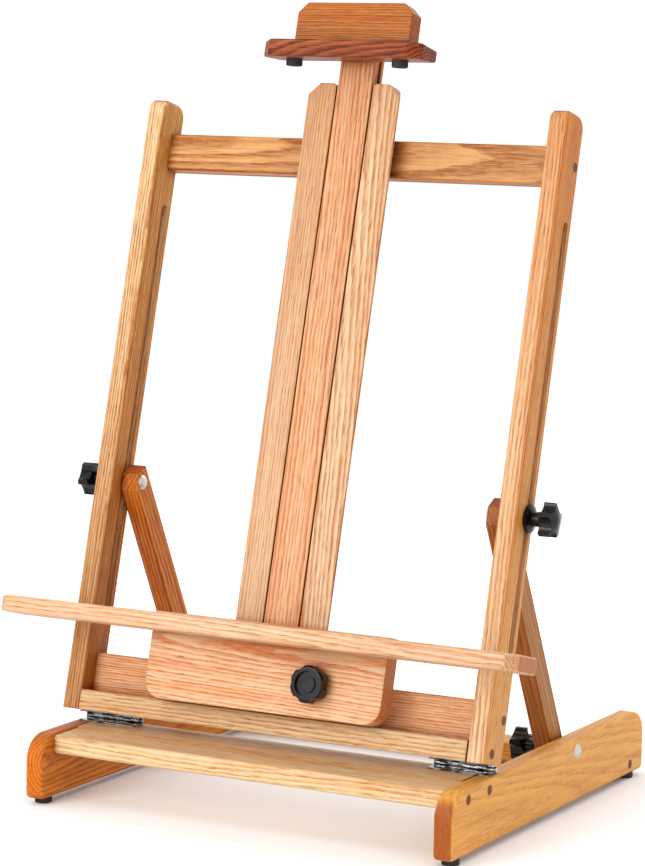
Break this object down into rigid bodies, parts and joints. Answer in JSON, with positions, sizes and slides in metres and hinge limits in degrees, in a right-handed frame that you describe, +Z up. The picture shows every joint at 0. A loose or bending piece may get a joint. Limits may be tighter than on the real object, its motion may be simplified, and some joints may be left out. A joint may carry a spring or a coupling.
{
  "type": "tabletop easel",
  "caption": "Wooden H-frame tabletop easel: base on rubber feet, hinged tilting frame with slotted uprights and struts, sliding mast with canvas holder, clamped tray.",
  "frame": {"origin": "centre of the base footprint on the floor", "axes": "+Z up, +X to the right as seen by the painter, +Y to the rear"},
  "size_m": [0.57, 0.448, 0.7911],
  "materials": {
    "oak_light": "oiled, satin",
    "oak_pale": "oiled, satin",
    "oak_red": "oiled, satin",
    "oak_plug": "oiled, end grain",
    "rubber": "moulded",
    "nickel": "nickel plated",
    "zinc_steel": "zinc plated",
    "brass": "turned",
    "black_plastic": "moulded, glossy"
  },
  "bodies": {
    "base": {"left_side_rail": "oak_light", "right_side_rail": "oak_light", "front_crossbar": "oak_light", "rear_crossbar": "oak_light", "base_plugs": "oak_plug", "base_screws": "zinc_steel", "rubber_feet": "rubber", "foot_screws": "zinc_steel", "right_hinge_lower_leaf": "nickel", "left_hinge_lower_leaf": "nickel", "hinge_pins": "nickel", "lower_leaf_screws": "zinc_steel", "lower_strut_bolts": "zinc_steel"},
    "frame": {"left_upright": "oak_light", "right_upright": "oak_light", "top_rail": "oak_light", "lower_rear_rail": "oak_light", "bottom_rail": "oak_light", "left_mast_guide": "oak_pale", "right_mast_guide": "oak_pale", "frame_plugs": "oak_plug", "frame_screws": "zinc_steel", "guide_screws": "zinc_steel", "right_hinge_upper_leaf": "nickel", "left_hinge_upper_leaf": "nickel", "upper_leaf_screws": "zinc_steel", "mast_lock_insert": "brass"},
    "mast": {"centre_mast": "oak_red", "holder_board": "oak_red", "holder_ledge": "oak_red", "holder_pads": "rubber", "pad_screws": "zinc_steel", "holder_screws": "zinc_steel"},
    "tray": {"tray_shelf": "oak_light", "tray_board": "oak_light", "left_guide_block": "oak_light", "right_clamp_block": "oak_light", "tray_clamp_bolt": "zinc_steel", "tray_screws": "zinc_steel"},
    "left_strut": {"left_strut": "oak_red", "left_strut_bolt": "zinc_steel"},
    "right_strut": {"right_strut": "oak_red", "right_strut_bolt": "zinc_steel"},
    "mast_lock": {"mast_lock_knob": "black_plastic", "mast_lock_stud": "zinc_steel"},
    "tray_knob": {"tray_knob": "black_plastic"},
    "left_upper_knob": {"left_upper_knob": "black_plastic"},
    "right_upper_knob": {"right_upper_knob": "black_plastic"},
    "left_lower_knob": {"left_lower_knob": "black_plastic"},
    "right_lower_knob": {"right_lower_knob": "black_plastic"}
  },
  "joints": [
    {"name": "frame_tilt", "type": "hinge", "parent": "base", "child": "frame", "pos_m": [0, -0.1195, 0.0723], "axis": [-1, 0, 0], "range_deg": [-9.5, 12]},
    {"name": "left_strut_pivot", "type": "hinge", "parent": "base", "child": "left_strut", "pos_m": [-0.205, 0.055, 0.0563], "axis": [-1, 0, 0], "range_deg": [-11.07, 13.96]},
    {"name": "right_strut_pivot", "type": "hinge", "parent": "base", "child": "right_strut", "pos_m": [0.205, 0.055, 0.0563], "axis": [-1, 0, 0], "range_deg": [-11.07, 13.96]},
    {"name": "mast_slide", "type": "slide", "parent": "frame", "child": "mast", "axis": [0, 0.2504, 0.9681], "range_m": [0, 0.33]},
    {"name": "tray_slide", "type": "slide", "parent": "frame", "child": "tray", "axis": [0, 0.2504, 0.9681], "range_m": [0, 0.42]},
    {"name": "mast_lock_turn", "type": "hinge", "parent": "frame", "child": "mast_lock", "pos_m": [0, 0.0246, 0.6335], "axis": [0, 0.9681, -0.2504], "continuous": true},
    {"name": "tray_knob_turn", "type": "hinge", "parent": "tray", "child": "tray_knob", "pos_m": [0.057, -0.1665, 0.14219], "axis": [0, -0.9681, 0.2504], "continuous": true},
    {"name": "left_upper_knob_turn", "type": "hinge", "parent": "left_strut", "child": "left_upper_knob", "pos_m": [-0.24, -0.07356, 0.30625], "axis": [-1, 0, 0], "continuous": true},
    {"name": "right_upper_knob_turn", "type": "hinge", "parent": "right_strut", "child": "right_upper_knob", "pos_m": [0.24, -0.07356, 0.30625], "axis": [1, 0, 0], "continuous": true},
    {"name": "left_lower_knob_turn", "type": "hinge", "parent": "base", "child": "left_lower_knob", "pos_m": [-0.19, 0.055, 0.0563], "axis": [1, 0, 0], "continuous": true},
    {"name": "right_lower_knob_turn", "type": "hinge", "parent": "base", "child": "right_lower_knob", "pos_m": [0.19, 0.055, 0.0563], "axis": [-1, 0, 0], "continuous": true}
  ],
  "couplings": [
    {"joint": "left_strut_pivot", "follows": "frame_tilt", "ratio": 1.155},
    {"joint": "right_strut_pivot", "follows": "frame_tilt", "ratio": 1.155}
  ]
}
